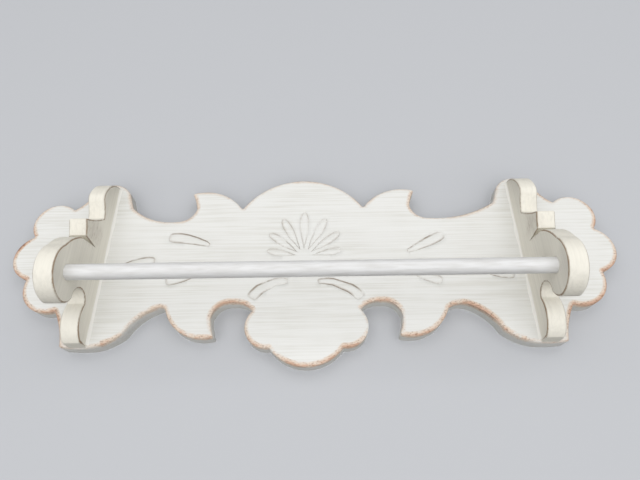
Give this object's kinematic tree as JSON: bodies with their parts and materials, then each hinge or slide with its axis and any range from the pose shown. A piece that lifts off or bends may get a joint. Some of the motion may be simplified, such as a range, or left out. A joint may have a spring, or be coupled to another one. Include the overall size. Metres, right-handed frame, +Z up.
{
  "type": "wall rail with brackets",
  "caption": "Painted wooden wall rail: scroll-sawn carved backboard with curved brackets that carry a round turning rail for a towel or quilt.",
  "frame": {"origin": "on the back face of the board, midway between the brackets and level with the rail's axis", "axes": "+X along the rail, to the right as seen from the front; +Y back into the wall; +Z up as hung"},
  "size_m": [0.6814, 0.1105, 0.2259],
  "materials": {
    "painted_wood": "off-white brushed paint on pine, rubbed back to brown wood along the edges",
    "painted_rail": "silky white paint on a round dowel",
    "zinc_screw": "zinc plated"
  },
  "bodies": {
    "frame": {"backboard": "painted_wood", "left_bracket": "painted_wood", "right_bracket": "painted_wood", "left_screw_top": "zinc_screw", "left_screw_bottom": "zinc_screw", "right_screw_top": "zinc_screw", "right_screw_bottom": "zinc_screw"},
    "rail": {"rail": "painted_rail"}
  },
  "joints": [
    {"name": "rail_spin", "type": "hinge", "parent": "frame", "child": "rail", "pos_m": [0, -0.085, 0], "axis": [1, 0, 0], "continuous": true}
  ]
}
